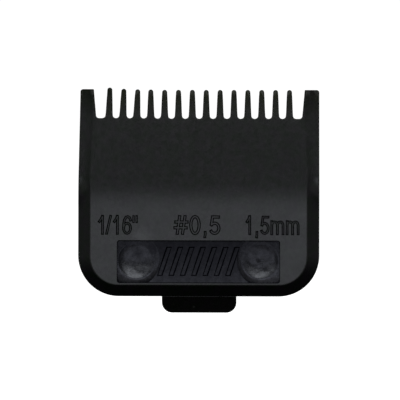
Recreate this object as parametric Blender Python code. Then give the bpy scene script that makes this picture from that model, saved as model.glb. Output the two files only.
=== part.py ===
"""Clipper guard comb: moulded comb body, two disc magnets and a sprung blade clip.

Axes: +X right, +Z towards the tooth tips, -Y skin side, +Y open blade side.
Heights below are measured up from the heel edge, depths back from the number panel,
and everything is then moved so that the middle of the blade seat is the origin.
"""

import math

import bmesh
import bpy
from mathutils import Matrix, Vector

MM = 0.001

# overall outline
HALF_W = 24.5
TOP_HALF_W = 24.28
CORNER_R = 8.28
TIP_Z = 41.97
BACK_Y = 10.2

# number panel, bend and tooth web
RIM_INSET = 2.4
RIM_DEPTH = 2.0
BEND_LOW = 17.1
BEND_HIGH = 23.0
WEB_TILT = math.radians(6.5)
WALL = 1.2
INNER_Y = 3.35
WELL_Y = 1.9
WELL_TOP = 12.4
HEEL_WALL = 1.6

# blade seat
SEAT_Y = 3.55
SEAT_HALF_W = 23.6
SEAT_LOW = 14.2
SEAT_HIGH = 34.4

# teeth
PITCH = 2.82
SLIM_TEETH = 14
SLOT_Z = 36.08
TIP_W = 0.98
ROOT_W = 1.42
END_TOP_X = 21.46
END_ROOT_X = 21.0

# badge recess with a round boss at each end
BADGE_X = 16.5
BADGE_LOW = 2.73
BADGE_HIGH = 11.34
BADGE_DEPTH = 0.65
BOSS_X = 12.55
BOSS_Z = 7.13
BOSS_R = 3.87
DISH_R = 3.5
DISH_DEPTH = 0.3

# magnets
MAGNET_R = 3.5
MAGNET_T = 2.0
MAGNET_GAP = 0.2
POCKET_FLOOR = 1.15
SOCKET_R = 4.6
SOCKET_Y = 3.45

# size marks and grip bars
MARK_DEPTH = 0.25
MARK_CAP = 3.8
MARK_Z = 12.6
MARKS = (('1/16"', -20.6, 8.4), ("#0,5", -5.2, 9.8), ("1,5mm", 9.5, 11.2))
BARS = 7
BAR_PITCH = 2.3
BAR_W = 1.0
BAR_H = 5.6
BAR_LEAN = 0.35

# clip
PIN_Y = 6.4
PIN_Z = 4.6
PIN_R = 0.75
PIN_HALF = 7.4
EAR_IN = 6.1
EAR_OUT = 7.5
EAR_R = 2.0
EAR_BORE = 0.83
NOTCH_HALF = 7.95
NOTCH_Y = 3.2
STOP_HALF = 3.0
STOP_Y = 5.3
TAB_HALF = 7.68
TAB_LOW = -3.46
TAB_HIGH = 1.4
TAB_R = 2.0
TAB_FRONT = 7.7
TAB_BACK = 9.6
LEVER_FRONT = 5.6
LEVER_BACK = 7.8
STEM_HALF = 5.8
HOOK_HALF = 4.4
BARREL_R = 1.9
BARREL_BORE = 0.83
COIL_GAP_HALF = 3.1
HOOK_Y = 6.9
HOOK_TOP = 13.9
BLADE_HEEL = 12.5

# spring
COIL_R = 1.5
WIRE_R = 0.22
COIL_TURNS = 5
COIL_HALF = 2.5

ORIGIN = Vector((0.0, SEAT_Y, (SEAT_LOW + SEAT_HIGH) / 2))


def clear_scene():
    for old in list(bpy.data.objects):
        bpy.data.objects.remove(old, do_unlink=True)


def make_object(name, verts, faces):
    """A closed mesh object from points in heel-edge millimetres."""
    mesh = bpy.data.meshes.new(name)
    mesh.from_pydata([(Vector(v) - ORIGIN) * MM for v in verts], [], faces)
    bm = bmesh.new()
    bm.from_mesh(mesh)
    bmesh.ops.recalc_face_normals(bm, faces=bm.faces)
    bm.to_mesh(mesh)
    bm.free()
    obj = bpy.data.objects.new(name, mesh)
    bpy.context.scene.collection.objects.link(obj)
    return obj


def prism(name, outline, axis, low, high):
    """An outline carried along X or Y. Outlines are (y, z) for X and (x, z) for Y."""
    n = len(outline)
    if axis == "X":
        verts = [(t, a, b) for t in (low, high) for a, b in outline]
    else:
        verts = [(a, t, b) for t in (low, high) for a, b in outline]
    faces = [tuple(range(n)), tuple(range(n, 2 * n))]
    faces += [(i, (i + 1) % n, n + (i + 1) % n, n + i) for i in range(n)]
    return make_object(name, verts, faces)


def box(name, x, y, z):
    return prism(name, [(x[0], z[0]), (x[1], z[0]), (x[1], z[1]), (x[0], z[1])], "Y", *y)


def circle(a, b, r, steps):
    return [
        (a + r * math.cos(2 * math.pi * i / steps), b + r * math.sin(2 * math.pi * i / steps))
        for i in range(steps)
    ]


def arc(a, b, r, start, end, steps):
    """Points on an arc, both ends included, angles in degrees."""
    turn = [math.radians(start + (end - start) * i / steps) for i in range(steps + 1)]
    return [(a + r * math.cos(t), b + r * math.sin(t)) for t in turn]


def join(name, objs):
    """One mesh from separate bodies that don't meet."""
    bm = bmesh.new()
    for o in objs:
        bm.from_mesh(o.data)
    mesh = bpy.data.meshes.new(name)
    bm.to_mesh(mesh)
    bm.free()
    for o in objs:
        bpy.data.objects.remove(o, do_unlink=True)
    obj = bpy.data.objects.new(name, mesh)
    bpy.context.scene.collection.objects.link(obj)
    return obj


def combine(obj, other, operation):
    """Boolean of obj with other, which is used up."""
    mod = obj.modifiers.new("cut", "BOOLEAN")
    mod.operation = operation
    mod.solver = "EXACT"
    mod.object = other
    mod.use_self = other.name.startswith("mark")
    bpy.context.view_layer.update()
    shape = obj.evaluated_get(bpy.context.evaluated_depsgraph_get())
    mesh = bpy.data.meshes.new_from_object(shape)
    obj.modifiers.clear()
    obj.data = mesh
    bpy.data.objects.remove(other, do_unlink=True)


def cut(obj, other):
    combine(obj, other, "DIFFERENCE")


def add(obj, other):
    combine(obj, other, "UNION")


def interpolate(points, z):
    for (z0, v0), (z1, v1) in zip(points, points[1:]):
        if z <= z1:
            return v0 + (v1 - v0) * max(0.0, z - z0) / (z1 - z0)
    return points[-1][1]


def front_y(z):
    """Depth of the skin face: flat panel, round bend, then the tilted web."""
    if z <= BEND_LOW:
        return 0.0
    radius = (BEND_HIGH - BEND_LOW) / math.sin(WEB_TILT)
    if z <= BEND_HIGH:
        return radius - math.sqrt(radius**2 - (z - BEND_LOW) ** 2)
    return radius * (1 - math.cos(WEB_TILT)) + (z - BEND_HIGH) * math.tan(WEB_TILT)


def back_y(z):
    """Depth of the side walls' open edge, falling away towards the teeth."""
    edge = [(0, BACK_Y), (19, BACK_Y), (22, 9.7), (32, 6.3), (36, 4.5), (39.2, 3.2), (43, 3.2)]
    return interpolate(edge, z)


def rim_depth(z):
    return interpolate(
        [(0, 2.0), (17.5, 2.0), (18.6, 1.8), (20.1, 1.2), (21.6, 0.62), (23, 0.34), (25, 0.22), (43, 0.18)],
        z,
    )


def rim_x(z):
    return interpolate([(8.28, 22.1), (24, 22.1), (36, 21.5), (41.97, 21.9)], z)


def body_block():
    """The outer form: rows from heel to tips, each mirrored left to right."""
    cx, cz = HALF_W - CORNER_R, CORNER_R
    rows = []
    for x, z in arc(0, 0, 1, -90, 0, 10):
        inner_r = CORNER_R - RIM_INSET
        inner = (cx + inner_r * x, cz + inner_r * z)
        outer = (cx + CORNER_R * x, cz + CORNER_R * z)
        rows.append((inner, 0.0, outer, RIM_DEPTH, BACK_Y))
    for z in (12, 17.1, 18.1, 19.1, 20.1, 21.1, 22.1, 23, 24, 27, 30, 33, 36, 38, 39.2, 40.6, 41.66):
        half = interpolate([(0, HALF_W), (22, HALF_W), (TIP_Z, TOP_HALF_W)], z)
        y = front_y(z)
        rows.append(((rim_x(z), z), y, (half, z), y + rim_depth(z), back_y(z)))
    (inner, y, outer, edge, back) = rows[-1]
    mid, half_t, edge_t = (y + back) / 2, (back - y) / 2, (back + y) / 2 - edge
    for deg in (25, 48, 70):
        s, c = math.sin(math.radians(deg)), math.cos(math.radians(deg))
        z = outer[1] + (TIP_Z - outer[1]) * s / math.sin(math.radians(70))
        half = TOP_HALF_W - 0.3 * (1 - c)
        rows.append(((rim_x(z) - 0.3 * (1 - c), z), mid - half_t * c, (half, z), mid - edge_t * c, mid + half_t * c))
    verts = []
    for (xi, zi), yf, (xo, zo), ye, yb in rows:
        verts += [(-xo, yb, zo), (-xo, ye, zo), (-xi, yf, zi), (xi, yf, zi), (xo, ye, zo), (xo, yb, zo)]
    faces = []
    for r in range(len(rows) - 1):
        a, b = 6 * r, 6 * (r + 1)
        faces += [(a + i, a + (i + 1) % 6, b + (i + 1) % 6, b + i) for i in range(6)]
    last = 6 * (len(rows) - 1)
    faces += [(0, 5, 4, 1), (1, 4, 3, 2), tuple(last + i for i in range(6))]
    return make_object("comb_body", verts, faces)


def inset_outline(inset, top):
    """The U-shaped outline moved inwards, closed across at a height."""
    cx, r = HALF_W - CORNER_R, CORNER_R - inset
    bottom_shift = HEEL_WALL - WALL
    right = [(x, z + bottom_shift) for x, z in arc(cx, CORNER_R, r, -90, 0, 8)]
    right.append((HALF_W - inset, top))
    return [(-x, z) for x, z in reversed(right)] + right


def slot_edges():
    """Left and right root and top positions of every gap between the teeth."""
    centres = [(i - (SLIM_TEETH - 1) / 2) * PITCH for i in range(SLIM_TEETH)]
    gaps = []
    for a, b in zip(centres, centres[1:]):
        gaps.append((a + ROOT_W / 2, a + TIP_W / 2, a, b - ROOT_W / 2, b - TIP_W / 2, b))
    first, last = centres[0], centres[-1]
    gaps.insert(0, (-END_ROOT_X, -END_TOP_X, None, first - ROOT_W / 2, first - TIP_W / 2, first))
    gaps.append((last + ROOT_W / 2, last + TIP_W / 2, last, END_ROOT_X, END_TOP_X, None))
    return gaps


def slot_side(root_x, top_x, centre, way):
    """One side of a gap from its round root up over the tooth tip; way is +1 on the right side."""
    r = 0.69
    bottom = (root_x - way * r, SLOT_Z + r)
    side = arc(bottom[0], bottom[1], r, -90 if way > 0 else -90, 0 if way > 0 else -180, 5)
    tip_r = 0.4 if centre is not None else 0.12
    side.append((top_x, TIP_Z - tip_r))
    if centre is None:
        side += [(top_x + way * tip_r * 0.3, TIP_Z - tip_r * 0.3), (top_x + way * tip_r, TIP_Z), (top_x + way * tip_r, TIP_Z + 1)]
    else:
        reach = abs(centre - top_x) - 0.07
        for deg in (30, 55, 75, 90):
            a = math.radians(deg)
            side.append((top_x + way * reach * (1 - math.cos(a)), TIP_Z - tip_r * (1 - math.sin(a))))
        side.append((top_x + way * reach, TIP_Z + 1))
    return side


def tooth_slots():
    cutters = []
    for n, (lr, lt, lc, rr, rt, rc) in enumerate(slot_edges()):
        left = slot_side(lr, lt, lc, -1)
        right = slot_side(rr, rt, rc, 1)
        cutters.append(prism(f"slot_{n}", list(reversed(left)) + right, "Y", -1, 12))
    return join("slots", cutters)


def heel_well():
    """The hollow below the blade, leaving a socket round each magnet."""
    well = prism("well", inset_outline(WALL + 0.9, WELL_TOP), "Y", WELL_Y, INNER_Y + 1)
    for side in (-1, 1):
        cut(well, prism("socket", circle(side * BOSS_X, BOSS_Z, SOCKET_R, 40), "Y", WELL_Y - 1, INNER_Y + 2))
    return well


def dish(side):
    """A shallow round-bottomed hollow in a boss."""
    rings = [(DISH_R * math.sin(a), DISH_DEPTH * (1 - (math.sin(a)) ** 2)) for a in (0.35, 0.75, 1.15, math.pi / 2)]
    steps, cx = 32, side * BOSS_X
    verts = [(cx, DISH_DEPTH, BOSS_Z)]
    for r, depth in rings:
        verts += [(x, depth, z) for x, z in circle(cx, BOSS_Z, r, steps)]
    verts += [(x, -0.5, z) for x, z in circle(cx, BOSS_Z, DISH_R, steps)]
    faces = [(0, 1 + i, 1 + (i + 1) % steps) for i in range(steps)]
    for k in range(len(rings)):
        a, b = 1 + k * steps, 1 + (k + 1) * steps
        faces += [(a + i, a + (i + 1) % steps, b + (i + 1) % steps, b + i) for i in range(steps)]
    faces.append(tuple(1 + len(rings) * steps + i for i in range(steps)))
    return make_object("dish", verts, faces)


def badge_recess():
    low, high, x, r = BADGE_LOW, BADGE_HIGH, BADGE_X, 0.35
    outline = arc(x - r, low + r, r, -90, 0, 3) + arc(x - r, high - r, r, 0, 90, 3)
    outline += arc(r - x, high - r, r, 90, 180, 3) + arc(r - x, low + r, r, 180, 270, 3)
    recess = prism("recess", outline, "Y", -0.5, BADGE_DEPTH)
    for side in (-1, 1):
        boss = circle(side * BOSS_X, BOSS_Z, BOSS_R, 40)
        cut(recess, prism("boss", boss, "Y", -1, BADGE_DEPTH + 1))
    return recess


def grip_bars():
    """A row of leaning grooves between the bosses."""
    bars = []
    for i in range(BARS):
        x = (i - (BARS - 1) / 2) * BAR_PITCH
        lean, half, top = BAR_LEAN * BAR_H / 2, BAR_W / 2, BAR_H / 2
        outline = [(x - half - lean, -top), (x + half - lean, -top), (x + half + lean, top), (x - half + lean, top)]
        outline = [(a, b + BOSS_Z) for a, b in outline]
        bars.append(prism(f"bar_{i}", outline, "Y", -0.5, BADGE_DEPTH + 0.25))
    return join("bars", bars)


def size_mark(text, left, width):
    """Engraved size lettering, fitted to its length and cap height."""
    curve = bpy.data.curves.new("mark", "FONT")
    curve.body = text
    curve.resolution_u = 2
    curve.render_resolution_u = 0
    curve.extrude = 0.5
    obj = bpy.data.objects.new("mark", curve)
    bpy.context.scene.collection.objects.link(obj)
    bpy.context.view_layer.update()
    mesh = bpy.data.meshes.new_from_object(obj.evaluated_get(bpy.context.evaluated_depsgraph_get()))
    bpy.data.objects.remove(obj, do_unlink=True)
    caps = 0.716
    xs = [v.co.x for v in mesh.vertices]
    sx, sz = width / (max(xs) - min(xs)), MARK_CAP / caps
    for v in mesh.vertices:
        x, y, z = v.co
        v.co = (Vector((left + (x - min(xs)) * sx, MARK_DEPTH if z < 0 else -0.5, MARK_Z + y * sz)) - ORIGIN) * MM
    bm = bmesh.new()
    bm.from_mesh(mesh)
    bmesh.ops.remove_doubles(bm, verts=bm.verts, dist=1e-6)
    bmesh.ops.recalc_face_normals(bm, faces=bm.faces)
    bm.to_mesh(mesh)
    bm.free()
    mark = bpy.data.objects.new("mark", mesh)
    bpy.context.scene.collection.objects.link(mark)
    return mark


def hinge_ear(side):
    outline = [(WELL_Y - 0.3, PIN_Z - EAR_R)] + arc(PIN_Y, PIN_Z, EAR_R, -90, 90, 12)
    outline.append((WELL_Y - 0.3, PIN_Z + EAR_R))
    return prism("ear", outline, "X", *sorted((side * EAR_IN, side * EAR_OUT)))


def comb_body():
    body = body_block()
    cut(body, prism("cavity", inset_outline(WALL, 45), "Y", INNER_Y, 14))
    add(body, box("seat", (-SEAT_HALF_W, SEAT_HALF_W), (INNER_Y - 0.5, SEAT_Y), (SEAT_LOW, SEAT_HIGH)))
    cut(body, heel_well())
    for side in (-1, 1):
        add(body, prism("rise", circle(side * BOSS_X, BOSS_Z, SOCKET_R - 0.2, 40), "Y", INNER_Y - 0.4, SOCKET_Y))
    cut(body, box("notch", (-NOTCH_HALF, NOTCH_HALF), (NOTCH_Y, 14), (-1, HEEL_WALL + 0.6)))
    for side in (-1, 1):
        add(body, hinge_ear(side))
    add(body, box("stop", (-STOP_HALF, STOP_HALF), (WELL_Y - 0.3, STOP_Y), (10.2, 11.8)))
    cut(body, prism("bore", circle(PIN_Y, PIN_Z, EAR_BORE, 24), "X", -9, 9))
    for side in (-1, 1):
        pocket = circle(side * BOSS_X, BOSS_Z, MAGNET_R + MAGNET_GAP, 40)
        cut(body, prism("pocket", pocket, "Y", POCKET_FLOOR, SOCKET_Y + 1))
    cut(body, badge_recess())
    cut(body, grip_bars())
    for side in (-1, 1):
        cut(body, dish(side))
    cut(body, tooth_slots())
    for text, left, width in MARKS:
        cut(body, size_mark(text, left, width))
    return body


def magnet(name, side):
    low = POCKET_FLOOR + MAGNET_GAP
    steps, cx, edge = 40, side * BOSS_X, 0.15
    rings = [(MAGNET_R - edge, low), (MAGNET_R, low + edge), (MAGNET_R, low + MAGNET_T - edge), (MAGNET_R - edge, low + MAGNET_T)]
    verts = [(x, y, z) for r, y in rings for x, z in circle(cx, BOSS_Z, r, steps)]
    faces = [tuple(range(steps)), tuple(range(3 * steps, 4 * steps))]
    for k in range(3):
        a = k * steps
        faces += [(a + i, a + (i + 1) % steps, a + steps + (i + 1) % steps, a + steps + i) for i in range(steps)]
    return make_object(name, verts, faces)


def clip_lever():
    """Thumb tab, stem with two hinge barrels, and the hook over the blade's heel."""
    stem = [(LEVER_FRONT, 0.9), (LEVER_BACK, 0.9), (LEVER_BACK, 9.0), (8.5, 11.2), (8.7, 12.6), (8.3, 13.6)]
    stem += [(7.9, HOOK_TOP), (7.3, HOOK_TOP), (HOOK_Y, HOOK_TOP - 0.4), (HOOK_Y, BLADE_HEEL - 0.3)]
    stem += [(6.6, BLADE_HEEL - 0.6), (5.9, BLADE_HEEL - 0.6), (LEVER_FRONT, BLADE_HEEL - 0.9)]
    lever = prism("clip_lever", stem, "X", -STEM_HALF, STEM_HALF)
    tab_outline = arc(TAB_HALF - TAB_R, TAB_LOW + TAB_R, TAB_R, -90, 0, 6) + [(TAB_HALF, TAB_HIGH)]
    tab_outline += [(-TAB_HALF, TAB_HIGH)] + arc(TAB_R - TAB_HALF, TAB_LOW + TAB_R, TAB_R, 180, 270, 6)
    side = [(LEVER_FRONT, TAB_HIGH + 1), (LEVER_FRONT, 0.3), (TAB_FRONT, TAB_LOW), (TAB_FRONT, TAB_LOW - 1)]
    side += [(TAB_BACK, TAB_LOW - 1), (TAB_BACK, TAB_LOW), (LEVER_BACK, 0.3), (LEVER_BACK, TAB_HIGH + 1)]
    tab = prism("tab", side, "X", -TAB_HALF - 1, TAB_HALF + 1)
    combine(tab, prism("tab_outline", tab_outline, "Y", 3, 12), "INTERSECT")
    add(lever, tab)
    add(lever, prism("barrel", circle(PIN_Y, PIN_Z, BARREL_R, 28), "X", -STEM_HALF, STEM_HALF))
    for side in (-1, 1):
        taper = [(side * HOOK_HALF, 8.6), (side * (STEM_HALF + 1), 7.0), (side * (STEM_HALF + 1), 15), (side * HOOK_HALF, 15)]
        cut(lever, prism("taper", taper, "Y", 4, 10))
    window = (PIN_Z - BARREL_R - 0.4, PIN_Z + BARREL_R + 0.4)
    cut(lever, box("window", (-COIL_GAP_HALF, COIL_GAP_HALF), (3, 10), window))
    cut(lever, prism("bore", circle(PIN_Y, PIN_Z, BARREL_BORE, 24), "X", -9, 9))
    return lever


def hinge_pin():
    steps, edge = 24, 0.12
    rings = [(PIN_R - edge, -PIN_HALF), (PIN_R, edge - PIN_HALF), (PIN_R, PIN_HALF - edge), (PIN_R - edge, PIN_HALF)]
    verts = [(x, y, z) for r, x in rings for y, z in circle(PIN_Y, PIN_Z, r, steps)]
    faces = [tuple(range(steps)), tuple(range(3 * steps, 4 * steps))]
    for k in range(3):
        a = k * steps
        faces += [(a + i, a + (i + 1) % steps, a + steps + (i + 1) % steps, a + steps + i) for i in range(steps)]
    return make_object("hinge_pin", verts, faces)


def spring_path():
    """Wire centreline: tab leg, coil round the pin, then the leg to the panel's inner face."""
    per_turn = 16
    path = [Vector((-COIL_HALF, PIN_Y - COIL_R, 1.9)), Vector((-COIL_HALF, PIN_Y - COIL_R, 3.2))]
    turns = COIL_TURNS - 0.125
    count = round(turns * per_turn)
    for i in range(count + 1):
        t = i / per_turn
        a = math.pi - 2 * math.pi * t
        x = -COIL_HALF + 2 * COIL_HALF * i / count
        path.append(Vector((x, PIN_Y + COIL_R * math.cos(a), PIN_Z + COIL_R * math.sin(a))))
    a = math.pi - 2 * math.pi * count / per_turn
    end = path[-1]
    path.append(end + Vector((0, math.sin(a), -math.cos(a))) * 1.2)
    path.append(end + Vector((0, math.sin(a), -math.cos(a))) * 3.1)
    return path


def torsion_spring():
    path, sides, verts = spring_path(), 8, []
    up = Vector((1, 0, 0))
    for i, p in enumerate(path):
        along = (path[min(i + 1, len(path) - 1)] - path[max(i - 1, 0)]).normalized()
        u = (up - along * up.dot(along)).normalized()
        v = along.cross(u)
        for k in range(sides):
            t = 2 * math.pi * k / sides
            verts.append(tuple(p + (u * math.cos(t) + v * math.sin(t)) * WIRE_R))
    faces = [tuple(range(sides)), tuple(range(len(verts) - sides, len(verts)))]
    for i in range(len(path) - 1):
        a, b = i * sides, (i + 1) * sides
        faces += [(a + k, a + (k + 1) % sides, b + (k + 1) % sides, b + k) for k in range(sides)]
    return make_object("torsion_spring", verts, faces)


def material(name, colour, metallic, roughness):
    mat = bpy.data.materials.new(name)
    mat.use_nodes = True
    shader = mat.node_tree.nodes["Principled BSDF"]
    shader.inputs["Base Color"].default_value = (*colour, 1)
    shader.inputs["Metallic"].default_value = metallic
    shader.inputs["Roughness"].default_value = roughness
    return mat


def finish(obj, mat, angle):
    obj.data.materials.clear()
    obj.data.materials.append(mat)
    for face in obj.data.polygons:
        face.material_index = 0
    obj.data.shade_smooth()
    obj.data.set_sharp_from_angle(angle=math.radians(angle))


def set_origin(obj, point):
    """Put an object's origin on its joint axis without moving its shape."""
    shift = (Vector(point) - ORIGIN) * MM
    obj.data.transform(Matrix.Translation(-shift))
    obj.location = shift


def build():
    clear_scene()
    nylon = material("black_nylon", (0.022, 0.022, 0.024), 0.0, 0.45)
    clip = material("black_clip", (0.016, 0.016, 0.017), 0.0, 0.5)
    nickel = material("nickel_plate", (0.62, 0.6, 0.56), 1.0, 0.25)
    steel = material("spring_steel", (0.5, 0.5, 0.5), 1.0, 0.3)
    finish(comb_body(), nylon, 30)
    finish(magnet("magnet_left", -1), nickel, 30)
    finish(magnet("magnet_right", 1), nickel, 30)
    lever = clip_lever()
    finish(lever, clip, 30)
    set_origin(lever, (0, PIN_Y, PIN_Z))
    finish(hinge_pin(), steel, 30)
    finish(torsion_spring(), steel, 60)


build()
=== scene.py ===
"""Visual model of a clipper guard comb: moulded comb, two disc magnets, sprung thumb clip.

Shapes are worked out in millimetres: x to the right, y back from the number panel,
z up from the heel edge. They are moved into the frame's metres at the end.
"""

import math

import bmesh
import bpy
from mathutils import Matrix, Vector, noise


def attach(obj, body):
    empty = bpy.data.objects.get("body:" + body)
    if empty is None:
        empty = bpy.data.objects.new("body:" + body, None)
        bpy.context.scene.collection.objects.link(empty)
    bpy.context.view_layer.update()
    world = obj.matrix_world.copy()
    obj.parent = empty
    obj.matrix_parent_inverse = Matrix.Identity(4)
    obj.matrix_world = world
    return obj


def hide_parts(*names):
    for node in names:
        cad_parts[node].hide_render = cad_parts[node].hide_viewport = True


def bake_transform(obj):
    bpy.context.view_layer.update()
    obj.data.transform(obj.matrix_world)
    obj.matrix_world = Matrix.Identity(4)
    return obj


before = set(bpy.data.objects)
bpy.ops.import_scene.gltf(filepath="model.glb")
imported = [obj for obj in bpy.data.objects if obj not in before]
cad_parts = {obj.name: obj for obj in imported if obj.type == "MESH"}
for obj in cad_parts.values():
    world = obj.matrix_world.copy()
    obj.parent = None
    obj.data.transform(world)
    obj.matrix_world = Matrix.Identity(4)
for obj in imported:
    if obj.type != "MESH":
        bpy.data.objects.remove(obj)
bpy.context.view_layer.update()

# origin of the frame in heel-edge millimetres: the middle of the blade seat
SEAT_Y, SEAT_Z, SEAT_HALF, SEAT_LOW, SEAT_HIGH = 3.55, 24.3, 23.6, 14.2, 34.4
TO_FRAME = Matrix.Scale(0.001, 4) @ Matrix.Translation((0, -SEAT_Y, -SEAT_Z))

HALF_W, CORNER_R, TIP_Z = 24.5, 8.28, 41.97
BACK_Y, INNER_Y, WELL_Y, WALL, HEEL_WALL = 10.2, 3.35, 1.9, 1.2, 1.6
RIM_INSET, RIM_DEPTH = 2.4, 2.0
BEND_LOW, BEND_HIGH, WEB_TILT = 17.1, 23.0, math.radians(6.1)
PITCH, SLIM_TEETH, SLOT_Z = 2.82, 14, 36.08
RECESS_X, RECESS_LOW, RECESS_HIGH, RECESS_DEPTH = 16.5, 2.73, 11.34, 0.65
BOSS_X, BOSS_Z, BOSS_RISE, DISH_R, SKIRT_R, PIT_R = 12.55, 7.13, 0.2, 3.7, 3.9, 3.2
MAGNET_R, MAGNET_FRONT, MAGNET_BACK, POCKET_R, SOCKET_R = 3.5, 1.35, 3.35, 3.7, 4.6
BARS, BAR_PITCH, BAR_HALF_W, BAR_HALF_H, BAR_LEAN = 7, 2.3, 0.34, 2.75, 0.95
MARK_LOW, MARK_HIGH = 12.72, 3.56
PIN_Y, PIN_Z, PIN_R, BORE_R = 6.4, 4.6, 0.75, 0.83
PIN_HALF, LEVER_HALF, BARREL_R, EAR_R, EAR_IN, EAR_OUT = 7.4, 5.8, 1.9, 2.0, 6.1, 7.5
TAB_LEFT, TAB_RIGHT, TAB_LOW, TAB_R, NOTCH_HALF = -7.58, 7.62, -3.46, 2.1, 7.95
COIL_R, COIL_HALF, WIRE_R, COIL_TURNS = 1.5, 2.5, 0.22, 4.875


# ---------------------------------------------------------------- mesh helpers


def make(name, verts, faces):
    mesh = bpy.data.meshes.new(name)
    mesh.from_pydata([tuple(v) for v in verts], [], faces)
    bm = bmesh.new()
    bm.from_mesh(mesh)
    bmesh.ops.recalc_face_normals(bm, faces=bm.faces)
    bm.to_mesh(mesh)
    bm.free()
    obj = bpy.data.objects.new(name, mesh)
    bpy.context.scene.collection.objects.link(obj)
    return obj


def bake_modifiers(obj):
    bpy.context.view_layer.update()
    mesh = bpy.data.meshes.new_from_object(obj.evaluated_get(bpy.context.evaluated_depsgraph_get()))
    obj.modifiers.clear()
    obj.data = mesh
    return obj


def combine(obj, other, operation):
    mod = obj.modifiers.new("solid", "BOOLEAN")
    mod.operation, mod.solver, mod.object = operation, "MANIFOLD", other
    bake_modifiers(obj)
    bpy.data.objects.remove(other, do_unlink=True)


def cut(obj, other):
    combine(obj, other, "DIFFERENCE")


def add(obj, other):
    combine(obj, other, "UNION")


def round_edges(obj, width, segments=2, angle=35):
    mod = obj.modifiers.new("edges", "BEVEL")
    mod.width, mod.segments, mod.limit_method = width, segments, "ANGLE"
    mod.angle_limit = math.radians(angle)
    mod.use_clamp_overlap = True
    mod.miter_outer = "MITER_ARC"
    bake_modifiers(obj)


def merge(name, objs):
    bm = bmesh.new()
    for o in objs:
        bm.from_mesh(o.data)
        bpy.data.objects.remove(o, do_unlink=True)
    mesh = bpy.data.meshes.new(name)
    bm.to_mesh(mesh)
    bm.free()
    obj = bpy.data.objects.new(name, mesh)
    bpy.context.scene.collection.objects.link(obj)
    return obj


def loft(name, rings):
    """A tube through rings of equal point counts, capped at both ends."""
    n = len(rings[0])
    verts = [p for ring in rings for p in ring]
    faces = []
    for k in range(len(rings) - 1):
        a, b = k * n, (k + 1) * n
        faces += [(a + i, a + (i + 1) % n, b + (i + 1) % n, b + i) for i in range(n)]
    faces += [tuple(range(n)), tuple(range(len(verts) - n, len(verts)))]
    return make(name, verts, faces)


def prism(name, outline, axis, low, high):
    if axis == "X":
        return loft(name, [[(t, a, b) for a, b in outline] for t in (low, high)])
    return loft(name, [[(a, t, b) for a, b in outline] for t in (low, high)])


def box(name, x, y, z):
    return prism(name, [(x[0], z[0]), (x[1], z[0]), (x[1], z[1]), (x[0], z[1])], "Y", *y)


def arc(a, b, r, start, end, steps):
    turn = [math.radians(start + (end - start) * i / steps) for i in range(steps + 1)]
    return [(a + r * math.cos(t), b + r * math.sin(t)) for t in turn]


def circle(a, b, r, steps):
    return arc(a, b, r, 0, 360 - 360 / steps, steps - 1)


def rounded_rectangle(x0, x1, z0, z1, r, steps=6):
    pts = arc(x1 - r, z0 + r, r, -90, 0, steps) + arc(x1 - r, z1 - r, r, 0, 90, steps)
    return pts + arc(x0 + r, z1 - r, r, 90, 180, steps) + arc(x0 + r, z0 + r, r, 180, 270, steps)


def interpolate(points, z):
    for (z0, v0), (z1, v1) in zip(points, points[1:]):
        if z <= z1:
            return v0 + (v1 - v0) * max(0.0, z - z0) / (z1 - z0)
    return points[-1][1]


def ease(points, z):
    """As interpolate, with smooth steps between the points."""
    for (z0, v0), (z1, v1) in zip(points, points[1:]):
        if z <= z1:
            t = max(0.0, z - z0) / (z1 - z0)
            return v0 + (v1 - v0) * t * t * (3 - 2 * t)
    return points[-1][1]


# ---------------------------------------------------------------- comb body


def front_y(z):
    if z <= BEND_LOW:
        return 0.0
    radius = (BEND_HIGH - BEND_LOW) / math.sin(WEB_TILT)
    if z <= BEND_HIGH:
        return radius - math.sqrt(radius**2 - (z - BEND_LOW) ** 2)
    up = z - BEND_HIGH
    return radius * (1 - math.cos(WEB_TILT)) + up * math.tan(WEB_TILT) + 0.0008 * up * up


def back_y(z):
    edge = [(0, BACK_Y), (17.5, BACK_Y), (22, 9.55), (32, 6.3), (36, 4.5), (39.2, 3.2), (43, 3.2)]
    return interpolate(edge, z)


def rim_depth(z):
    return ease([(0, RIM_DEPTH), (17.0, RIM_DEPTH), (24.5, 0.4), (43, 0.28)], z)


def rim_hollow(z):
    """How strongly the bevel curves: straight at the panel, all at its inner edge higher up."""
    return ease([(0, 1.0), (17.5, 1.0), (24.0, 1.7), (43, 2.0)], z)


def rim_x(z):
    return interpolate([(8.28, 22.07), (24, 22.07), (36, 21.4), (42, 21.8)], z)


def half_width(z, side):
    """The left edge leans in a little more than the right one."""
    return interpolate([(0, HALF_W), (19, HALF_W), (TIP_Z, 24.12 if side < 0 else 24.43)], z)


RIM_U = (-0.13, -0.07, -0.01, 0.05, 0.12, 0.3, 0.55, 0.8, 0.93, 0.975)


def rim_rise(u, soft=0.1):
    if u <= -soft:
        return 0.0
    return (u + soft) ** 2 / (4 * soft) if u < soft else u


def half_row(inner, outer, yf, depth, yb, hollow=1.0):
    """One side's points from the open back edge round to the panel, as (x, y, z)."""
    way = (Vector(outer) - Vector(inner)).normalized()
    pts = []
    for inset, y in ((0.32, yb), (0.1, yb - 0.1), (0.0, yb - 0.32), (0.0, yf + depth + 0.16)):
        p = Vector(outer) - way * inset
        pts.append([p.x, y, p.y])
    for u in reversed(RIM_U):
        p = Vector(inner).lerp(Vector(outer), u)
        rise = 1 - (1 - min(1.0, rim_rise(u))) ** hollow
        pts.append([p.x, yf + depth * rise + (0.03 if u > 0.95 else 0.0), p.y])
    return pts


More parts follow.
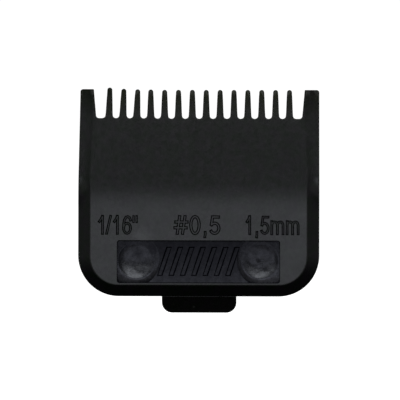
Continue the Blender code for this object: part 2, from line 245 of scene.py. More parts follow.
def body_block():
    rows = []
    cx, cz = HALF_W - CORNER_R, CORNER_R
    for x, z in arc(0, 0, 1, -90, 0, 22):
        inner = (cx + (CORNER_R - RIM_INSET - 0.03) * x, cz + (CORNER_R - RIM_INSET + 0.14) * z)
        outer = (cx + CORNER_R * x, cz + CORNER_R * z)
        rows.append([half_row(inner, outer, 0.0, RIM_DEPTH, BACK_Y)] * 2)
    heights = [10.0, 12.0] + [17.0 + 0.5 * i for i in range(18)]
    for z in heights + [27, 29.5, 32, 34, 35.5, 37, 38.2, 39.2, 40.5, 42, 43.5]:
        inner, y = (rim_x(z), z), (front_y(z), rim_depth(z), back_y(z), rim_hollow(z))
        rows.append([half_row(inner, (half_width(z, side), z), *y) for side in (-1, 1)])
    n = len(rows[0][0])
    verts, faces = [], []
    for left, right in rows:
        verts += [(-x, y, z) for x, y, z in left] + [tuple(p) for p in reversed(right)]
    for r in range(len(rows) - 1):
        a, b = 2 * n * r, 2 * n * (r + 1)
        around = [(i, (i + 1) % (2 * n)) for i in range(2 * n)]
        faces += [(a + i, a + j, b + j, b + i) for i, j in around]
    faces += [(i, 2 * n - 1 - i, 2 * n - 2 - i, i + 1) for i in range(n - 1)]
    last = 2 * n * (len(rows) - 1)
    faces.append(tuple(last + i for i in range(2 * n)))
    return make("comb_shell", verts, faces)


def inset_outline(inset, top, steps=18):
    cx, r = HALF_W - CORNER_R, CORNER_R - inset
    right = [(x, z + HEEL_WALL - WALL) for x, z in arc(cx, CORNER_R, r, -90, 0, steps)]
    right.append((HALF_W - inset, top))
    return [(-x, z) for x, z in reversed(right)] + right


# half thickness of a slim tooth against height; how much taller the first ones at the left are,
# and how far they lean to the right
TOOTH = [
    (36.77, 0.73), (37.3, 0.69), (38.1, 0.655), (38.9, 0.63), (39.75, 0.6), (40.6, 0.56), (41.5, 0.5),
]
TALLER = [0.45, 0.2, 0.1, 0.06]
LEAN = [0.12, 0.15, 0.16]


def widen(line, by):
    """The outline moved outwards, square to itself, except along its far side."""
    pts = []
    for i, p in enumerate(line):
        if i < 2 or i > len(line) - 3:
            pts.append(p)
            continue
        along = (Vector(line[i + 1]) - Vector(line[i - 1])).normalized()
        pts.append((p[0] + along.y * by, p[1] - along.x * by))
    return pts


def crown():
    """Everything to cut away above the teeth: the gaps, the rounded tips and the end teeth's tops.

    The outline runs from left to right: the left end tooth's top, then each gap's floor and the slim
    tooth after it, then the last gap and the right end tooth's top. It flares towards the front.
    """
    root, r = SLOT_Z + 0.68, 0.67
    line = [(-30, 46), (-30, TIP_Z - 0.48)]
    line += arc(-23.56, TIP_Z - 0.48, 0.6, 180, 90, 6) + arc(-21.56, TIP_Z - 0.04, 0.16, 90, 0, 4)
    left_foot = -20.97
    floor = [0.1, 0.1, 0.08, 0.06, 0.03]
    for i in range(SLIM_TEETH):
        x = (i - (SLIM_TEETH - 1) / 2) * PITCH + 0.05
        up = root + (floor[i] if i < len(floor) else 0.0)
        line += arc(left_foot + r, up, r, 180, 270, 8)
        line += arc(x - TOOTH[0][1] - r, up, r, 270, 360, 8)
        left_foot = x + TOOTH[0][1]
        lean = LEAN[i] if i < len(LEAN) else 0.0
        top = TIP_Z + (TALLER[i] if i < len(TALLER) else 0.0)
        flank = [(h, lean * (z - root) / 5, z) for z, h in TOOTH[1:-1]]
        line += [(x - h + off, z) for h, off, z in flank]
        tip = TOOTH[-1][1]
        turn = [math.radians(180 - 15 * k) for k in range(13)]
        line += [(x + lean + tip * math.cos(a), top - 0.46 + 0.46 * math.sin(a)) for a in turn]
        line += [(x + h + off, z) for h, off, z in reversed(flank)]
    line += arc(left_foot + r, root, r, 180, 270, 8) + arc(21.0 - r, root, r, 270, 360, 8)
    line += arc(21.62, TIP_Z - 0.16, 0.16, 180, 90, 4) + arc(23.92, TIP_Z - 0.52, 0.52, 90, 0, 6)
    line += [(30, TIP_Z - 0.52), (30, 46)]
    rings = []
    for y, grow in ((-1.0, 0.22), (-0.02, 0.22), (0.03, 0.12), (0.11, 0.045), (0.24, 0.0)):
        rings.append([(x, y + front_y(z), z) for x, z in widen(line, grow)])
    rings.append([(x, 12, z) for x, z in line])
    return loft("crown", rings)


def heel_well():
    well = prism("well", inset_outline(WALL + 0.9, 12.4), "Y", WELL_Y, INNER_Y + 1)
    for side in (-1, 1):
        ring = circle(side * BOSS_X, BOSS_Z, SOCKET_R, 56)
        cut(well, prism("socket", ring, "Y", WELL_Y - 1, INNER_Y + 2))
    return well


def hinge_ear(side):
    outline = [(WELL_Y - 0.3, PIN_Z - EAR_R)] + arc(PIN_Y, PIN_Z, EAR_R, -90, 90, 20)
    outline.append((WELL_Y - 0.3, PIN_Z + EAR_R))
    return prism("ear", outline, "X", *sorted((side * EAR_IN, side * EAR_OUT)))


def recess():
    """Badge recess: chamfered mouth, slightly drafted walls and a soft foot."""
    rings = []
    for y, off in ((-0.3, 0.36), (0.06, 0.0), (RECESS_DEPTH - 0.07, -0.06), (RECESS_DEPTH, -0.14)):
        x, low, high = RECESS_X + off, RECESS_LOW - off, RECESS_HIGH + off
        rings.append([(a, y, b) for a, b in rounded_rectangle(-x, x, low, high, 0.5 + off)])
    return loft("recess", rings)


# radius and depth of a boss's skirt, from inside the moulding to the edge of the dish
SKIRT = [(5.5, 1.06), (5.42, 0.64), (5.2, 0.59), (4.85, 0.545), (4.5, 0.505), (4.15, 0.47), (SKIRT_R, 0.443)]


def boss(side):
    """Round dished boss in the recess: soft skirt, smooth uneven dish, moulding dimple at the right.

    low shifts the deepest point, lean tilts the whole dish, and aside moves the skirt off the grooves.
    """
    steps, cx, cz = 88, side * BOSS_X, BOSS_Z + BOSS_RISE
    low = Vector((-1.3, 0.0)) if side < 0 else Vector((0.1, 0.0))
    lean = Vector((0.03, 0.085)) if side < 0 else Vector((0.0, 0.06))
    rings = []
    for r, y in SKIRT:
        tip, aside = max(0.0, (5.4 - r) / 1.5), side * 0.7 * (r - SKIRT_R) / 1.6
        outline = circle(cx + aside, cz, r, steps)
        rings.append([(x, y + tip * (lean.x * (x - cx) + lean.y * (z - cz)), z) for x, z in outline])
    deep = 0.46 if side < 0 else 0.42
    for k in range(28):
        t = 1 - k / 28.5
        ring = []
        for x, z in circle(0, 0, DISH_R * t, steps):
            pull = 1 - t * t
            px, pz = x + low.x * pull, z + low.y * pull
            depth = deep * (1 - t * t) * (1 - 0.45 * t**10) + lean.x * px + lean.y * pz
            lump = noise.noise(Vector((px * 0.5 + pz * 0.2, pz * 0.45, 3.7 * side))) * 0.09
            lump += noise.noise(Vector((px * 1.1 + pz, pz * 1.1 - px, 9.1 * side))) * 0.014
            away = math.hypot(x + 0.6, z - 0.25)
            dimple = 0.025 * math.exp(-((away / 0.4) ** 2)) * (1 if side > 0 else 0)
            ring.append((px + cx, 0.43 + depth + lump * (1 - t**6) + dimple, pz + cz))
        rings.append(ring)
    obj = loft("boss", rings)
    for face in obj.data.polygons:
        face.material_index = 2
    return obj


def grip_bars():
    """A row of leaning grooves with drafted sides, between the bosses."""
    bars = []
    for i in range(BARS):
        x = (i - (BARS - 1) / 2) * BAR_PITCH
        rings = []
        for y, off in ((0.5, 0.33), (0.95, 0.0), (0.96, -0.05)):
            a, b = BAR_HALF_W + off, BAR_HALF_H + off
            pts = [(-a - BAR_LEAN, -b), (a - BAR_LEAN, -b), (a + BAR_LEAN, b), (-a + BAR_LEAN, b)]
            rings.append([(x + u, y, v + BOSS_Z) for u, v in pts])
        bars.append(loft(f"bar_{i}", rings))
    return merge("bars", bars)


# ---------------------------------------------------------------- size marks


def ellipse(cx, cz, rx, rz, start=0, end=360, steps=20):
    """Points on an ellipse, with both ends: a full turn repeats its first point."""
    turn = [math.radians(start + (end - start) * i / steps) for i in range(steps + 1)]
    return [(cx + rx * math.cos(t), cz + rz * math.sin(t)) for t in turn]


# strokes of each character in a unit cell: lists of points, and whether they close up
GLYPHS = {
    "1": [
        ([(0.1, 0.68), (0.32, 0.78), (0.52, 0.9), (0.62, 1.0)], False),
        ([(0.66, 1.0), (0.66, 0.0)], False),
    ],
    "/": [([(0.08, 0.0), (0.92, 1.0)], False)],
    "6": [
        (
            [(0.9, 0.76), (0.8, 0.91), (0.58, 0.97), (0.36, 0.93), (0.18, 0.77), (0.1, 0.52), (0.1, 0.32)],
            False,
        ),
        (ellipse(0.5, 0.31, 0.4, 0.29)[:-1], True),
    ],
    '"': [([(0.2, 1.0), (0.2, 0.66)], False), ([(0.8, 1.0), (0.8, 0.66)], False)],
    "#": [
        ([(0.24, 0.0), (0.42, 1.0)], False),
        ([(0.62, 0.0), (0.8, 1.0)], False),
        ([(0.04, 0.34), (0.92, 0.34)], False),
        ([(0.1, 0.67), (0.98, 0.67)], False),
    ],
    "0": [(ellipse(0.5, 0.5, 0.42, 0.48, steps=26)[:-1], True)],
    ",": [([(0.5, 0.1), (0.5, -0.04), (0.34, -0.18)], False)],
    "5": [
        ([(0.9, 0.96), (0.28, 0.96), (0.15, 0.5)], False),
        ([(0.15, 0.5)] + ellipse(0.48, 0.32, 0.42, 0.29, 130, -150, 18), False),
    ],
    "m": [
        ([(0.08, 0.0), (0.08, 0.72)], False),
        ([(0.08, 0.48)] + ellipse(0.29, 0.5, 0.21, 0.19, 170, 0, 9) + [(0.5, 0.0)], False),
        ([(0.5, 0.48)] + ellipse(0.71, 0.5, 0.21, 0.19, 170, 0, 9) + [(0.92, 0.0)], False),
    ],
}
# character, left edge and width; each stroke's middle line starts at MARK_LOW and is MARK_HIGH tall
MARKS = [
    ("1", -20.4, 1.5), ("/", -18.85, 1.25), ("1", -17.35, 1.45), ("6", -15.5, 2.05), ('"', -13.5, 1.3),
    ("#", -5.15, 3.15), ("0", -1.88, 2.35), (",", 0.95, 0.85), ("5", 2.12, 2.4),
    ("1", 9.55, 1.35), (",", 11.5, 0.7), ("5", 12.45, 2.0), ("m", 14.5, 3.0), ("m", 17.6, 2.95),
]


def groove(path, closed, half, floor, depth):
    """A cutter that follows a path: sloping sides down to a narrow floor."""
    n, flare = len(path), (half - floor) / depth * 0.06
    ring_at = []
    for i, p in enumerate(path):
        before = path[i - 1] if (i or closed) else p
        after = path[(i + 1) % n] if (i < n - 1 or closed) else p
        d1 = (Vector(p) - Vector(before)).normalized() if before is not p else None
        d2 = (Vector(after) - Vector(p)).normalized() if after is not p else None
        d1, d2 = d1 or d2, d2 or d1
        along = (d1 + d2).normalized()
        side = Vector((-along.y, along.x)) / max(0.5, along.dot(d1))
        end = 0.0 if closed or 0 < i < n - 1 else (-1.0 if i == 0 else 1.0)
        q = Vector(p)
        top = q + along * end * (half - floor + flare)
        ring_at.append([
            (*(top + side * (half + flare)), -0.06),
            (*(q + side * floor), depth),
            (*(q - side * floor), depth),
            (*(top - side * (half + flare)), -0.06),
        ])
    rings = [[(x, y, z) for x, z, y in ring] for ring in ring_at]
    if not closed:
        return loft("groove", rings)
    verts = [p for ring in rings for p in ring]
    faces = []
    for k in range(n):
        a, b = k * 4, (k + 1) % n * 4
        faces += [(a + i, a + (i + 1) % 4, b + (i + 1) % 4, b + i) for i in range(4)]
    return make("groove", verts, faces)


def engrave_marks(body):
    count = 0
    for char, left, width in MARKS:
        bold = char in "#05" and -6 < left < 5
        for path, closed in GLYPHS[char]:
            half, floor = (0.34, 0.11) if bold else (0.29, 0.05)
            if char == '"':
                half = 0.25
            pts = [(left + half / 2 + a * (width - half), MARK_LOW + b * MARK_HIGH) for a, b in path]
            # depths differ a little, so that crossing strokes never share a floor
            cut(body, groove(pts, closed, half, floor, 0.3 + 0.002 * (count % 7)))
            count += 1


def comb_body():
    body = body_block()
    cut(body, prism("cavity", inset_outline(WALL, 45), "Y", INNER_Y, 14))
    add(body, box("seat", (-SEAT_HALF, SEAT_HALF), (INNER_Y - 0.5, SEAT_Y), (SEAT_LOW, SEAT_HIGH)))
    cut(body, heel_well())
    for side in (-1, 1):
        rise = circle(side * BOSS_X, BOSS_Z, SOCKET_R - 0.2, 56)
        add(body, prism("rise", rise, "Y", INNER_Y - 0.4, SEAT_Y - 0.1))
    cut(body, box("notch", (-NOTCH_HALF, NOTCH_HALF), (3.2, 14), (-1, HEEL_WALL + 0.6)))
    for side in (-1, 1):
        add(body, hinge_ear(side))
    add(body, box("stop", (-3.0, 3.0), (WELL_Y - 0.3, 5.3), (10.2, 11.8)))
    for side in (-1, 1):
        pocket = circle(side * BOSS_X, BOSS_Z, POCKET_R, 56)
        cut(body, prism("pocket", pocket, "Y", MAGNET_FRONT - 0.2, 5))
    cut(body, crown())
    round_edges(body, 0.1, 2, 35)
    cut(body, prism("bore", circle(PIN_Y, PIN_Z, BORE_R, 32), "X", -9, 9))
    cut(body, recess())
    for side in (-1, 1):
        pit = circle(side * BOSS_X, BOSS_Z + BOSS_RISE, PIT_R, 56)
        cut(body, prism("pit", pit, "Y", 0.3, 1.05))
    cut(body, grip_bars())
    engrave_marks(body)
    return merge("comb_shell", [body, boss(-1), boss(1)])


# ---------------------------------------------------------------- clip, pin, spring, magnets


def clip_lever():
    stem = [(5.6, 0.9), (7.8, 0.9), (7.8, 9.0), (8.5, 11.2), (8.7, 12.6), (8.3, 13.6)]
    stem += [(7.9, 13.9), (7.3, 13.9), (6.9, 13.5), (6.9, 12.2), (6.6, 11.9), (5.9, 11.9), (5.6, 11.6)]
    lever = prism("clip", stem, "X", -LEVER_HALF, LEVER_HALF)
    outline = arc(TAB_RIGHT - TAB_R, TAB_LOW + TAB_R, TAB_R, -90, 0, 14)
    outline += [(TAB_RIGHT, 1.4), (TAB_LEFT, 1.4)]
    outline += arc(TAB_LEFT + TAB_R, TAB_LOW + TAB_R, TAB_R, 180, 270, 14)
    side = [(5.6, 2.4), (5.6, -0.115), (7.7, TAB_LOW), (7.7, -4.6), (9.6, -4.6), (9.6, TAB_LOW)]
    side += [(7.9, 0.0), (7.8, 0.45), (7.8, 2.4)]
    tab = prism("tab", side, "X", -9, 9)
    combine(tab, prism("tab_outline", outline, "Y", 3, 12), "INTERSECT")
    add(lever, tab)
    add(lever, prism("barrel", circle(PIN_Y, PIN_Z, BARREL_R, 40), "X", -LEVER_HALF, LEVER_HALF))
    for s in (-1, 1):
        taper = [(s * 4.4, 8.6), (s * 6.8, 7.0), (s * 6.8, 15), (s * 4.4, 15)]
        cut(lever, prism("taper", taper, "Y", 4, 10))
    cut(lever, box("window", (-3.1, 3.1), (3, 10), (2.3, 6.9)))
    round_edges(lever, 0.16, 3, 35)
    cut(lever, prism("bore", circle(PIN_Y, PIN_Z, BORE_R, 32), "X", -9, 9))
    return lever


def turned(name, profile, centre, axis, steps=64):
    """A solid of revolution: profile is (radius, distance along the axis)."""
    rings = []
    for r, t in profile:
        if axis == "X":
            rings.append([(t, a, b) for a, b in circle(*centre, r, steps)])
        else:
            rings.append([(a, t, b) for a, b in circle(*centre, r, steps)])
    return loft(name, rings)


def magnet(name, side):
    low, high, r = MAGNET_FRONT, MAGNET_BACK, MAGNET_R
    profile = [(r - 0.2, low), (r - 0.06, low + 0.06), (r, low + 0.2)]
    profile += [(r, high - 0.2), (r - 0.06, high - 0.06), (r - 0.2, high)]
    profile += [(1.2, high), (0.4, high)]
    return turned(name, profile, (side * BOSS_X, BOSS_Z), "Y", 80)


def hinge_pin():
    end = [(PIN_R, 7.2), (PIN_R - 0.03, 7.33), (PIN_R - 0.15, PIN_HALF), (0.3, PIN_HALF)]
    profile = [(r, -t) for r, t in reversed(end)] + end
    return turned("pin", profile, (PIN_Y, PIN_Z), "X", 40)


def torsion_spring():
    """Round wire: a leg on the clip, five coils round the pin, a leg on the comb."""
    per_turn = 40
    path = [Vector((-COIL_HALF, PIN_Y - COIL_R, z)) for z in (1.9, 2.3, 2.8, 3.3, 3.8, 4.3)]
    count = round(COIL_TURNS * per_turn)
    for i in range(count + 1):
        a = math.pi - 2 * math.pi * i / per_turn
        x = -COIL_HALF + 2 * COIL_HALF * i / count
        path.append(Vector((x, PIN_Y + COIL_R * math.cos(a), PIN_Z + COIL_R * math.sin(a))))
    a = math.pi - 2 * math.pi * count / per_turn
    end, way = path[-1], Vector((0, math.sin(a), -math.cos(a)))
    path += [end + way * d for d in (0.4, 0.9, 1.5, 2.2, 3.1)]
    rings = []
    for i, p in enumerate(path):
        along = (path[min(i + 1, len(path) - 1)] - path[max(i - 1, 0)]).normalized()
        u = (Vector((1, 0, 0)) - along * along.x).normalized()
        v = along.cross(u)
        ring = [2 * math.pi * k / 14 for k in range(14)]
        rings.append([tuple(p + (u * math.cos(t) + v * math.sin(t)) * WIRE_R) for t in ring])
    return loft("spring", rings)


# ---------------------------------------------------------------- materials


class Nodes:
    """Short hand for building one material's node tree."""

    def __init__(self, name):
        self.mat = bpy.data.materials.new(name)
        self.mat.use_nodes = True
        self.tree = self.mat.node_tree
        self.shader = self.tree.nodes["Principled BSDF"]
        coords = self.new("ShaderNodeTexCoord")
        mm = self.new("ShaderNodeVectorMath", operation="SCALE")
        mm.inputs["Scale"].default_value = 1000
        self.link(coords.outputs["Object"], mm.inputs[0])
        self.mm = mm.outputs[0]

    def new(self, kind, **settings):
        node = self.tree.nodes.new(kind)
        for key, value in settings.items():
            setattr(node, key, value)
        return node

    def link(self, a, b):
        self.tree.links.new(a, b)

    def noise(self, scale, detail=3.0, rough=0.55, stretch=None):
        node = self.new("ShaderNodeTexNoise")
        node.inputs["Scale"].default_value = scale
        node.inputs["Detail"].default_value = detail
        node.inputs["Roughness"].default_value = rough
        source = self.mm
        if stretch:
            by = self.new("ShaderNodeVectorMath", operation="MULTIPLY")
            by.inputs[1].default_value = stretch
            self.link(self.mm, by.inputs[0])
            source = by.outputs[0]
        self.link(source, node.inputs["Vector"])
        return node.outputs["Fac"]

    def span(self, value, a, b, c, d):
        node = self.new("ShaderNodeMapRange")
        for key, number in zip(("From Min", "From Max", "To Min", "To Max"), (a, b, c, d)):
            node.inputs[key].default_value = number
        self.link(value, node.inputs["Value"])
        return node.outputs["Result"]

    def axis(self, which):
        node = self.new("ShaderNodeSeparateXYZ")
        self.link(self.mm, node.inputs[0])
        return node.outputs[which]

    def away(self, x, z, wobble=0.0, fold=False):
        """Distance from the point x, z seen from the front, in millimetres; fold mirrors it."""
        across = self.math("ABSOLUTE", self.axis(0), 0) if fold else self.axis(0)
        across = self.math("SUBTRACT", across, x)
        up = self.math("ADD", self.axis(2), SEAT_Z - z)
        total = self.math("ADD", self.math("MULTIPLY", across, across), self.math("MULTIPLY", up, up))
        far = self.math("SQRT", total, 0)
        return self.math("ADD", far, self.span(self.noise(0.7, 2.0), 0.3, 0.7, -wobble, wobble))

    def math(self, operation, a, b):
        node = self.new("ShaderNodeMath", operation=operation)
        for socket, value in zip(node.inputs, (a, b)):
            if isinstance(value, (int, float)):
                socket.default_value = value
            else:
                self.link(value, socket)
        return node.outputs[0]

    def mix(self, factor, a, b):
        node = self.new("ShaderNodeMix", data_type="RGBA")
        if isinstance(factor, (int, float)):
            node.inputs["Factor"].default_value = factor
        else:
            self.link(factor, node.inputs["Factor"])
        for socket, value in ((node.inputs[6], a), (node.inputs[7], b)):
            if isinstance(value, tuple):
                socket.default_value = (*value, 1)
            else:
                self.link(value, socket)
        return node.outputs[2]

    def bump(self, height, distance_mm, strength=1.0, below=None):
        node = self.new("ShaderNodeBump")
        node.inputs["Strength"].default_value = strength
        node.inputs["Distance"].default_value = distance_mm * 0.001
        self.link(height, node.inputs["Height"])
        if below:
            self.link(below, node.inputs["Normal"])
        return node.outputs["Normal"]

    def surface(self, colour, roughness, normal, **plain):
        for name, value in (("Base Color", colour), ("Roughness", roughness), ("Normal", normal)):
            if value is not None:
                self.link(value, self.shader.inputs[name])
        for name, value in plain.items():
            self.shader.inputs[name.replace("_", " ")].default_value = value
        return self.mat


def nylon(name="black_nylon", rough=(0.22, 0.26), grain=0.0005, spec=0.48, worn_tips=False):
    """Black moulded nylon: fine spark-eroded grain and cloudy, slightly uneven tone.

    With worn_tips, the teeth are duller and olive, the end teeth darker, and there is a smear by the
    left boss. Without it, there is some lint. Spots are placed in heel-edge millimetres; heights
    along n.axis(2) are millimetres from the frame's origin.
    """
    n = Nodes(name)
    cloud = n.noise(0.55, 4.0)
    base = n.mix(n.span(cloud, 0.4, 0.6, 0, 1), (0.002, 0.005, 0.0022), (0.0054, 0.004, 0.0068))
    mottle = n.math("ADD", n.span(n.noise(1.5, 2.0, 0.6), 0.3, 0.7, -0.08, 0.08), 1)
    level = n.math("MULTIPLY", mottle, n.span(n.noise(0.3, 2.0), 0.3, 0.7, spec * 0.95, spec * 1.05))
    if worn_tips:
        patchy = n.span(n.noise(0.7, 2.0), 0.35, 0.6, 0.3, 1)
        worn = n.math("MULTIPLY", n.span(n.axis(2), 11.6, 17.4, 0, 1), patchy)
        worn = n.math("MULTIPLY", worn, n.span(n.math("ABSOLUTE", n.axis(0), 0), 20.5, 21.6, 1, 0.35))
        base = n.mix(worn, base, (0.0145, 0.0168, 0.0022))
        level = n.math("MULTIPLY", level, n.span(n.axis(2), 12.6, 17.4, 1, 0.4))
        smear = n.span(n.away(-11.2, 12.1, 0.7), 0.3, 2.1, 1.35, 1)
        level = n.math("MULTIPLY", level, smear)
        ends = n.span(n.math("ABSOLUTE", n.axis(0), 0), 20.4, 21.6, 0, 0.22)
        ends = n.math("MULTIPLY", ends, n.span(n.axis(2), 8.0, 13.0, 0, 1))
        level = n.math("MULTIPLY", level, n.math("SUBTRACT", 1, ends))
    else:
        lint = n.span(n.noise(1.5, 2.0, 0.7), 0.66, 0.74, 0.14, 0.7)
        base = n.mix(lint, base, (0.021, 0.017, 0.013))
        for x, z, r, grey in ((-1.05, -2.2, 0.3, 0.035), (2.75, -1.75, 0.5, 0.009)):
            base = n.mix(n.span(n.away(x, z, 0.06), 0.1, r, 1, 0), base, (grey, grey, grey))
    fine = n.noise(3.4, 4.0, 0.65)
    broad = n.span(n.noise(1.1, 3.0), 0.3, 0.7, *rough)
    roughness = n.math("ADD", broad, n.span(fine, 0.3, 0.7, -0.008, 0.008))
    wave = n.bump(n.noise(0.4, 2.0), 0.02, 0.5)
    normal = n.bump(fine, grain, 1.0, wave)
    n.link(level, n.shader.inputs["Specular IOR Level"])
    return n.surface(base, roughness, normal, IOR=1.5)


def polished(name, low, high, rough, streak, patch=False):
    """Glossier mould-polished nylon with faint streaks; the sheen is painted to drop off upwards, as painted
    shade across the top of the recess floor under its top edge and a painted highlight on the lower part of
    each boss's dish.

    With patch, the sheen also dies away towards the rim of each round boss, and it is cut at two spots as
    painted shade: the upper middle of the left dish and the dimple of the right one.
    """
    n = Nodes(name)
    cloud = n.noise(0.9, 3.0)
    base = n.mix(cloud, (0.0025, 0.0025, 0.005), (0.005, 0.0045, 0.008))
    # painted shade and highlight: less sheen towards the top of the recess and bosses, more towards their
    # bottom
    painted_sheen_fade = n.math("POWER", n.span(n.axis(2), -12.9, -21.6, 0, 1), 1.6)
    level = n.span(painted_sheen_fade, 0, 1, high, low)
    level = n.math("MULTIPLY", level, n.span(n.noise(1.3, 4.0), 0.3, 0.7, 0.75, 1.25))
    if patch:
        level = n.math("MULTIPLY", level, n.span(n.away(BOSS_X, BOSS_Z, 0.5, True), 2.9, 4.6, 1.0, 0.62))
        # painted shade: sheen cut in the upper middle of the left dish and in the right dish's dimple
        for x, z, r, least in ((-12.3, 8.6, 1.5, 0.6), (12.2, 7.5, 0.7, 0.6)):
            level = n.math("MULTIPLY", level, n.span(n.away(x, z, 0.25), 0.2, r, least, 1))
    else:
        across = n.math("ABSOLUTE", n.axis(0), 0)
        level = n.math("MULTIPLY", level, n.span(across, 8.5, 11.5, 1, 1.7))
        level = n.math("MULTIPLY", level, n.span(across, 13.5, 15.5, 1, 0.55))
    n.link(level, n.shader.inputs["Specular IOR Level"])
    lines = n.noise(1.2, 4.0, 0.6, (0.6, 1, 2.6))
    normal = n.bump(n.noise(0.8, 3.0), 0.03, 0.5, n.bump(lines, streak, 1.0))
    n.shader.inputs["Specular Tint"].default_value = (0.96, 0.97, 1.08, 1)
    return n.surface(base, n.span(cloud, 0.3, 0.7, *rough), normal, IOR=1.5)


def metal(name, light, dark, rough, brushed):
    n = Nodes(name)
    streak = n.noise(3.0, 4.0, 0.6, brushed)
    base = n.mix(streak, dark, light)
    roughness = n.span(streak, 0.3, 0.7, *rough)
    normal = n.bump(n.noise(6.0, 3.0, 0.6, brushed), 0.004, 0.6)
    return n.surface(base, roughness, normal, Metallic=1.0)


def dress(obj, *mats, angle=32):
    obj.data.transform(TO_FRAME)
    slots = [face.material_index for face in obj.data.polygons]
    obj.data.materials.clear()
    for mat in mats:
        obj.data.materials.append(mat)
    obj.data.polygons.foreach_set("material_index", slots)
    obj.data.shade_smooth()
    obj.data.set_sharp_from_angle(angle=math.radians(angle))
    mod = obj.modifiers.new("shading", "WEIGHTED_NORMAL")
    mod.keep_sharp = True
    mod.weight = 80


def mark_recess(obj):
    """The recess gets the polished material; the bosses already have their own."""
    for face in obj.data.polygons:
        p = face.center
        framed = abs(p.x) < RECESS_X + 0.1 and RECESS_LOW - 0.13 < p.z < RECESS_HIGH + 0.16
        inside = framed and 0.015 < p.y < 1.05
        if face.material_index < 2:
            face.material_index = 1 if inside else 0


# ---------------------------------------------------------------- the object

body = comb_body()
mark_recess(body)
recess_finish = polished("polished_recess", 0.27, 0.1, (0.2, 0.28), 0.004)
boss_finish = polished("polished_boss", 0.9, 0.27, (0.22, 0.32), 0.014, True)
dress(body, nylon(worn_tips=True), recess_finish, boss_finish)
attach(body, "comb")
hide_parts("comb_body")

clip = clip_lever()
dress(clip, nylon("black_clip", (0.26, 0.34), 0.0012, 0.5), angle=28)
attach(clip, "clip")
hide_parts("clip_lever")

nickel = metal("nickel_plate", (0.72, 0.69, 0.64), (0.5, 0.48, 0.44), (0.18, 0.34), (1, 1, 1))
for name, side in (("magnet_disc_left", -1), ("magnet_disc_right", 1)):
    disc = magnet(name, side)
    dress(disc, nickel)
    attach(disc, "comb")
    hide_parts("magnet_left" if side < 0 else "magnet_right")

steel = metal("spring_steel", (0.6, 0.59, 0.57), (0.36, 0.35, 0.34), (0.22, 0.4), (0.3, 3, 3))
pin = hinge_pin()
dress(pin, steel)
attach(pin, "comb")
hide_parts("hinge_pin")

spring = torsion_spring()
dress(spring, steel, angle=60)
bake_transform(spring)
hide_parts("torsion_spring")


# ---------------------------------------------------------------- camera, floor and light


def plain(name, colour, glow):
    mat = bpy.data.materials.new(name)
    mat.use_nodes = True
    shader = mat.node_tree.nodes["Principled BSDF"]
    shader.inputs["Base Color"].default_value = (*colour, 1)
    shader.inputs["Roughness"].default_value = 0.9
    shader.inputs["Emission Color"].default_value = (1, 1, 1, 1)
    shader.inputs["Emission Strength"].default_value = glow
    return mat


floor = make("floor", [(-3, -3, -0.06), (3, -3, -0.06), (3, 3, -0.06), (-3, 3, -0.06)], [(0, 1, 2, 3)])
floor.data.materials.append(plain("pale_floor", (0.9, 0.9, 0.9), 1.0))
floor.visible_diffuse = floor.visible_glossy = False


def softbox(name, azimuth, low, high, width, bright, tint=(1, 1, 1), distance=1.1):
    """A rectangular light at one brightness that covers elevations low to high.

    Azimuth 0 is in front of the number panel, 90 at its right.
    """
    half = math.radians(high - low) / 2
    size = (width, 2 * distance * math.tan(half))
    light = bpy.data.lights.new(name, "AREA")
    light.shape, light.size, light.size_y = "RECTANGLE", size[0], size[1]
    light.energy = bright * math.pi * size[0] * size[1]
    light.color = tint
    obj = bpy.data.objects.new(name, light)
    bpy.context.scene.collection.objects.link(obj)
    a, e = math.radians(azimuth), math.radians((low + high) / 2)
    way = Vector((math.sin(a) * math.cos(e), -math.cos(a) * math.cos(e), math.sin(e)))
    obj.location = Vector((0, 0, -0.005)) + way * distance
    obj.rotation_euler = (-way).to_track_quat("-Z", "Y").to_euler()


softbox("front_box", 0, -12, 6.8, 0.8, 1.03, (0.965, 1, 1.09))
softbox("front_low", 0, -34, -12, 0.8, 0.4)
softbox("upper_box", 0, 23.8, 46, 1.0, 2.0, (0.965, 1, 0.98))
for side in (-1, 1):
    softbox(f"side_fill_{side}", side * 37, -34, 2, 0.6, 0.18, (0.98, 1, 0.97))
    softbox(f"back_box_{side}", side * 140, 10, 50, 0.8, 1.8, (1, 1, 1), 1.2)
    softbox(f"back_low_{side}", side * 145, -26, 4, 0.7, 0.5, (1, 1, 1), 1.2)

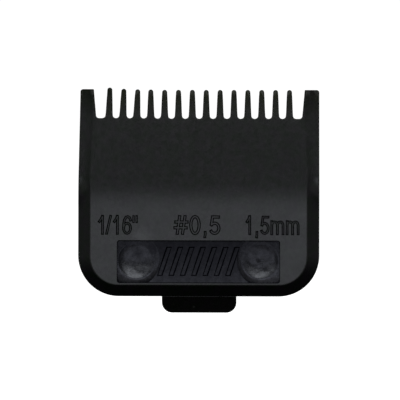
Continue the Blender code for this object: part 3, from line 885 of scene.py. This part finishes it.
world = bpy.data.worlds.new("studio")
bpy.context.scene.world = world
world.use_nodes = True
tree = world.node_tree
tree.nodes.clear()
out = tree.nodes.new("ShaderNodeOutputWorld")
mix = tree.nodes.new("ShaderNodeMixShader")
seen = tree.nodes.new("ShaderNodeBackground")
room = tree.nodes.new("ShaderNodeBackground")
path = tree.nodes.new("ShaderNodeLightPath")
way = tree.nodes.new("ShaderNodeTexCoord")
split = tree.nodes.new("ShaderNodeSeparateXYZ")
ramp = tree.nodes.new("ShaderNodeValToRGB")
height = tree.nodes.new("ShaderNodeMapRange")
height.inputs["From Min"].default_value, height.inputs["From Max"].default_value = -1, 1
seen.inputs["Color"].default_value = (1, 1, 1, 1)
seen.inputs["Strength"].default_value = 1.05
ramp.color_ramp.elements[0].color = (0.01, 0.01, 0.01, 1)
ramp.color_ramp.elements[1].color = (0.34, 0.36, 0.34, 1)
for position, grey in ((0.25, 0.02), (0.42, 0.1), (0.5, 0.18), (0.58, 0.12), (0.7, 0.2)):
    ramp.color_ramp.elements.new(position).color = (grey * 0.95, grey, grey * 0.96, 1)
tree.links.new(way.outputs["Generated"], split.inputs[0])
tree.links.new(split.outputs["Z"], height.inputs["Value"])
tree.links.new(height.outputs["Result"], ramp.inputs["Fac"])
tree.links.new(ramp.outputs["Color"], room.inputs["Color"])
tree.links.new(path.outputs["Is Camera Ray"], mix.inputs["Fac"])
tree.links.new(room.outputs[0], mix.inputs[1])
tree.links.new(seen.outputs[0], mix.inputs[2])
tree.links.new(mix.outputs[0], out.inputs["Surface"])

bpy.context.scene.view_settings.view_transform = "Standard"

camera = bpy.data.objects.new("camera", bpy.data.cameras.new("camera"))
bpy.context.scene.collection.objects.link(camera)
camera.data.sensor_width = 36
camera.data.lens = 398.8
turn, roll = math.radians(1.25), math.radians(0.13)
target = Vector((0.0003, -0.00355, -0.00472))
distance = 0.898
camera.location = target + distance * Vector((math.sin(turn), -math.cos(turn), 0))
facing = Matrix.Rotation(turn, 4, "Z") @ Matrix.Rotation(math.radians(90), 4, "X")
camera.rotation_euler = (facing @ Matrix.Rotation(roll, 4, "Z")).to_euler()
bpy.context.scene.camera = camera
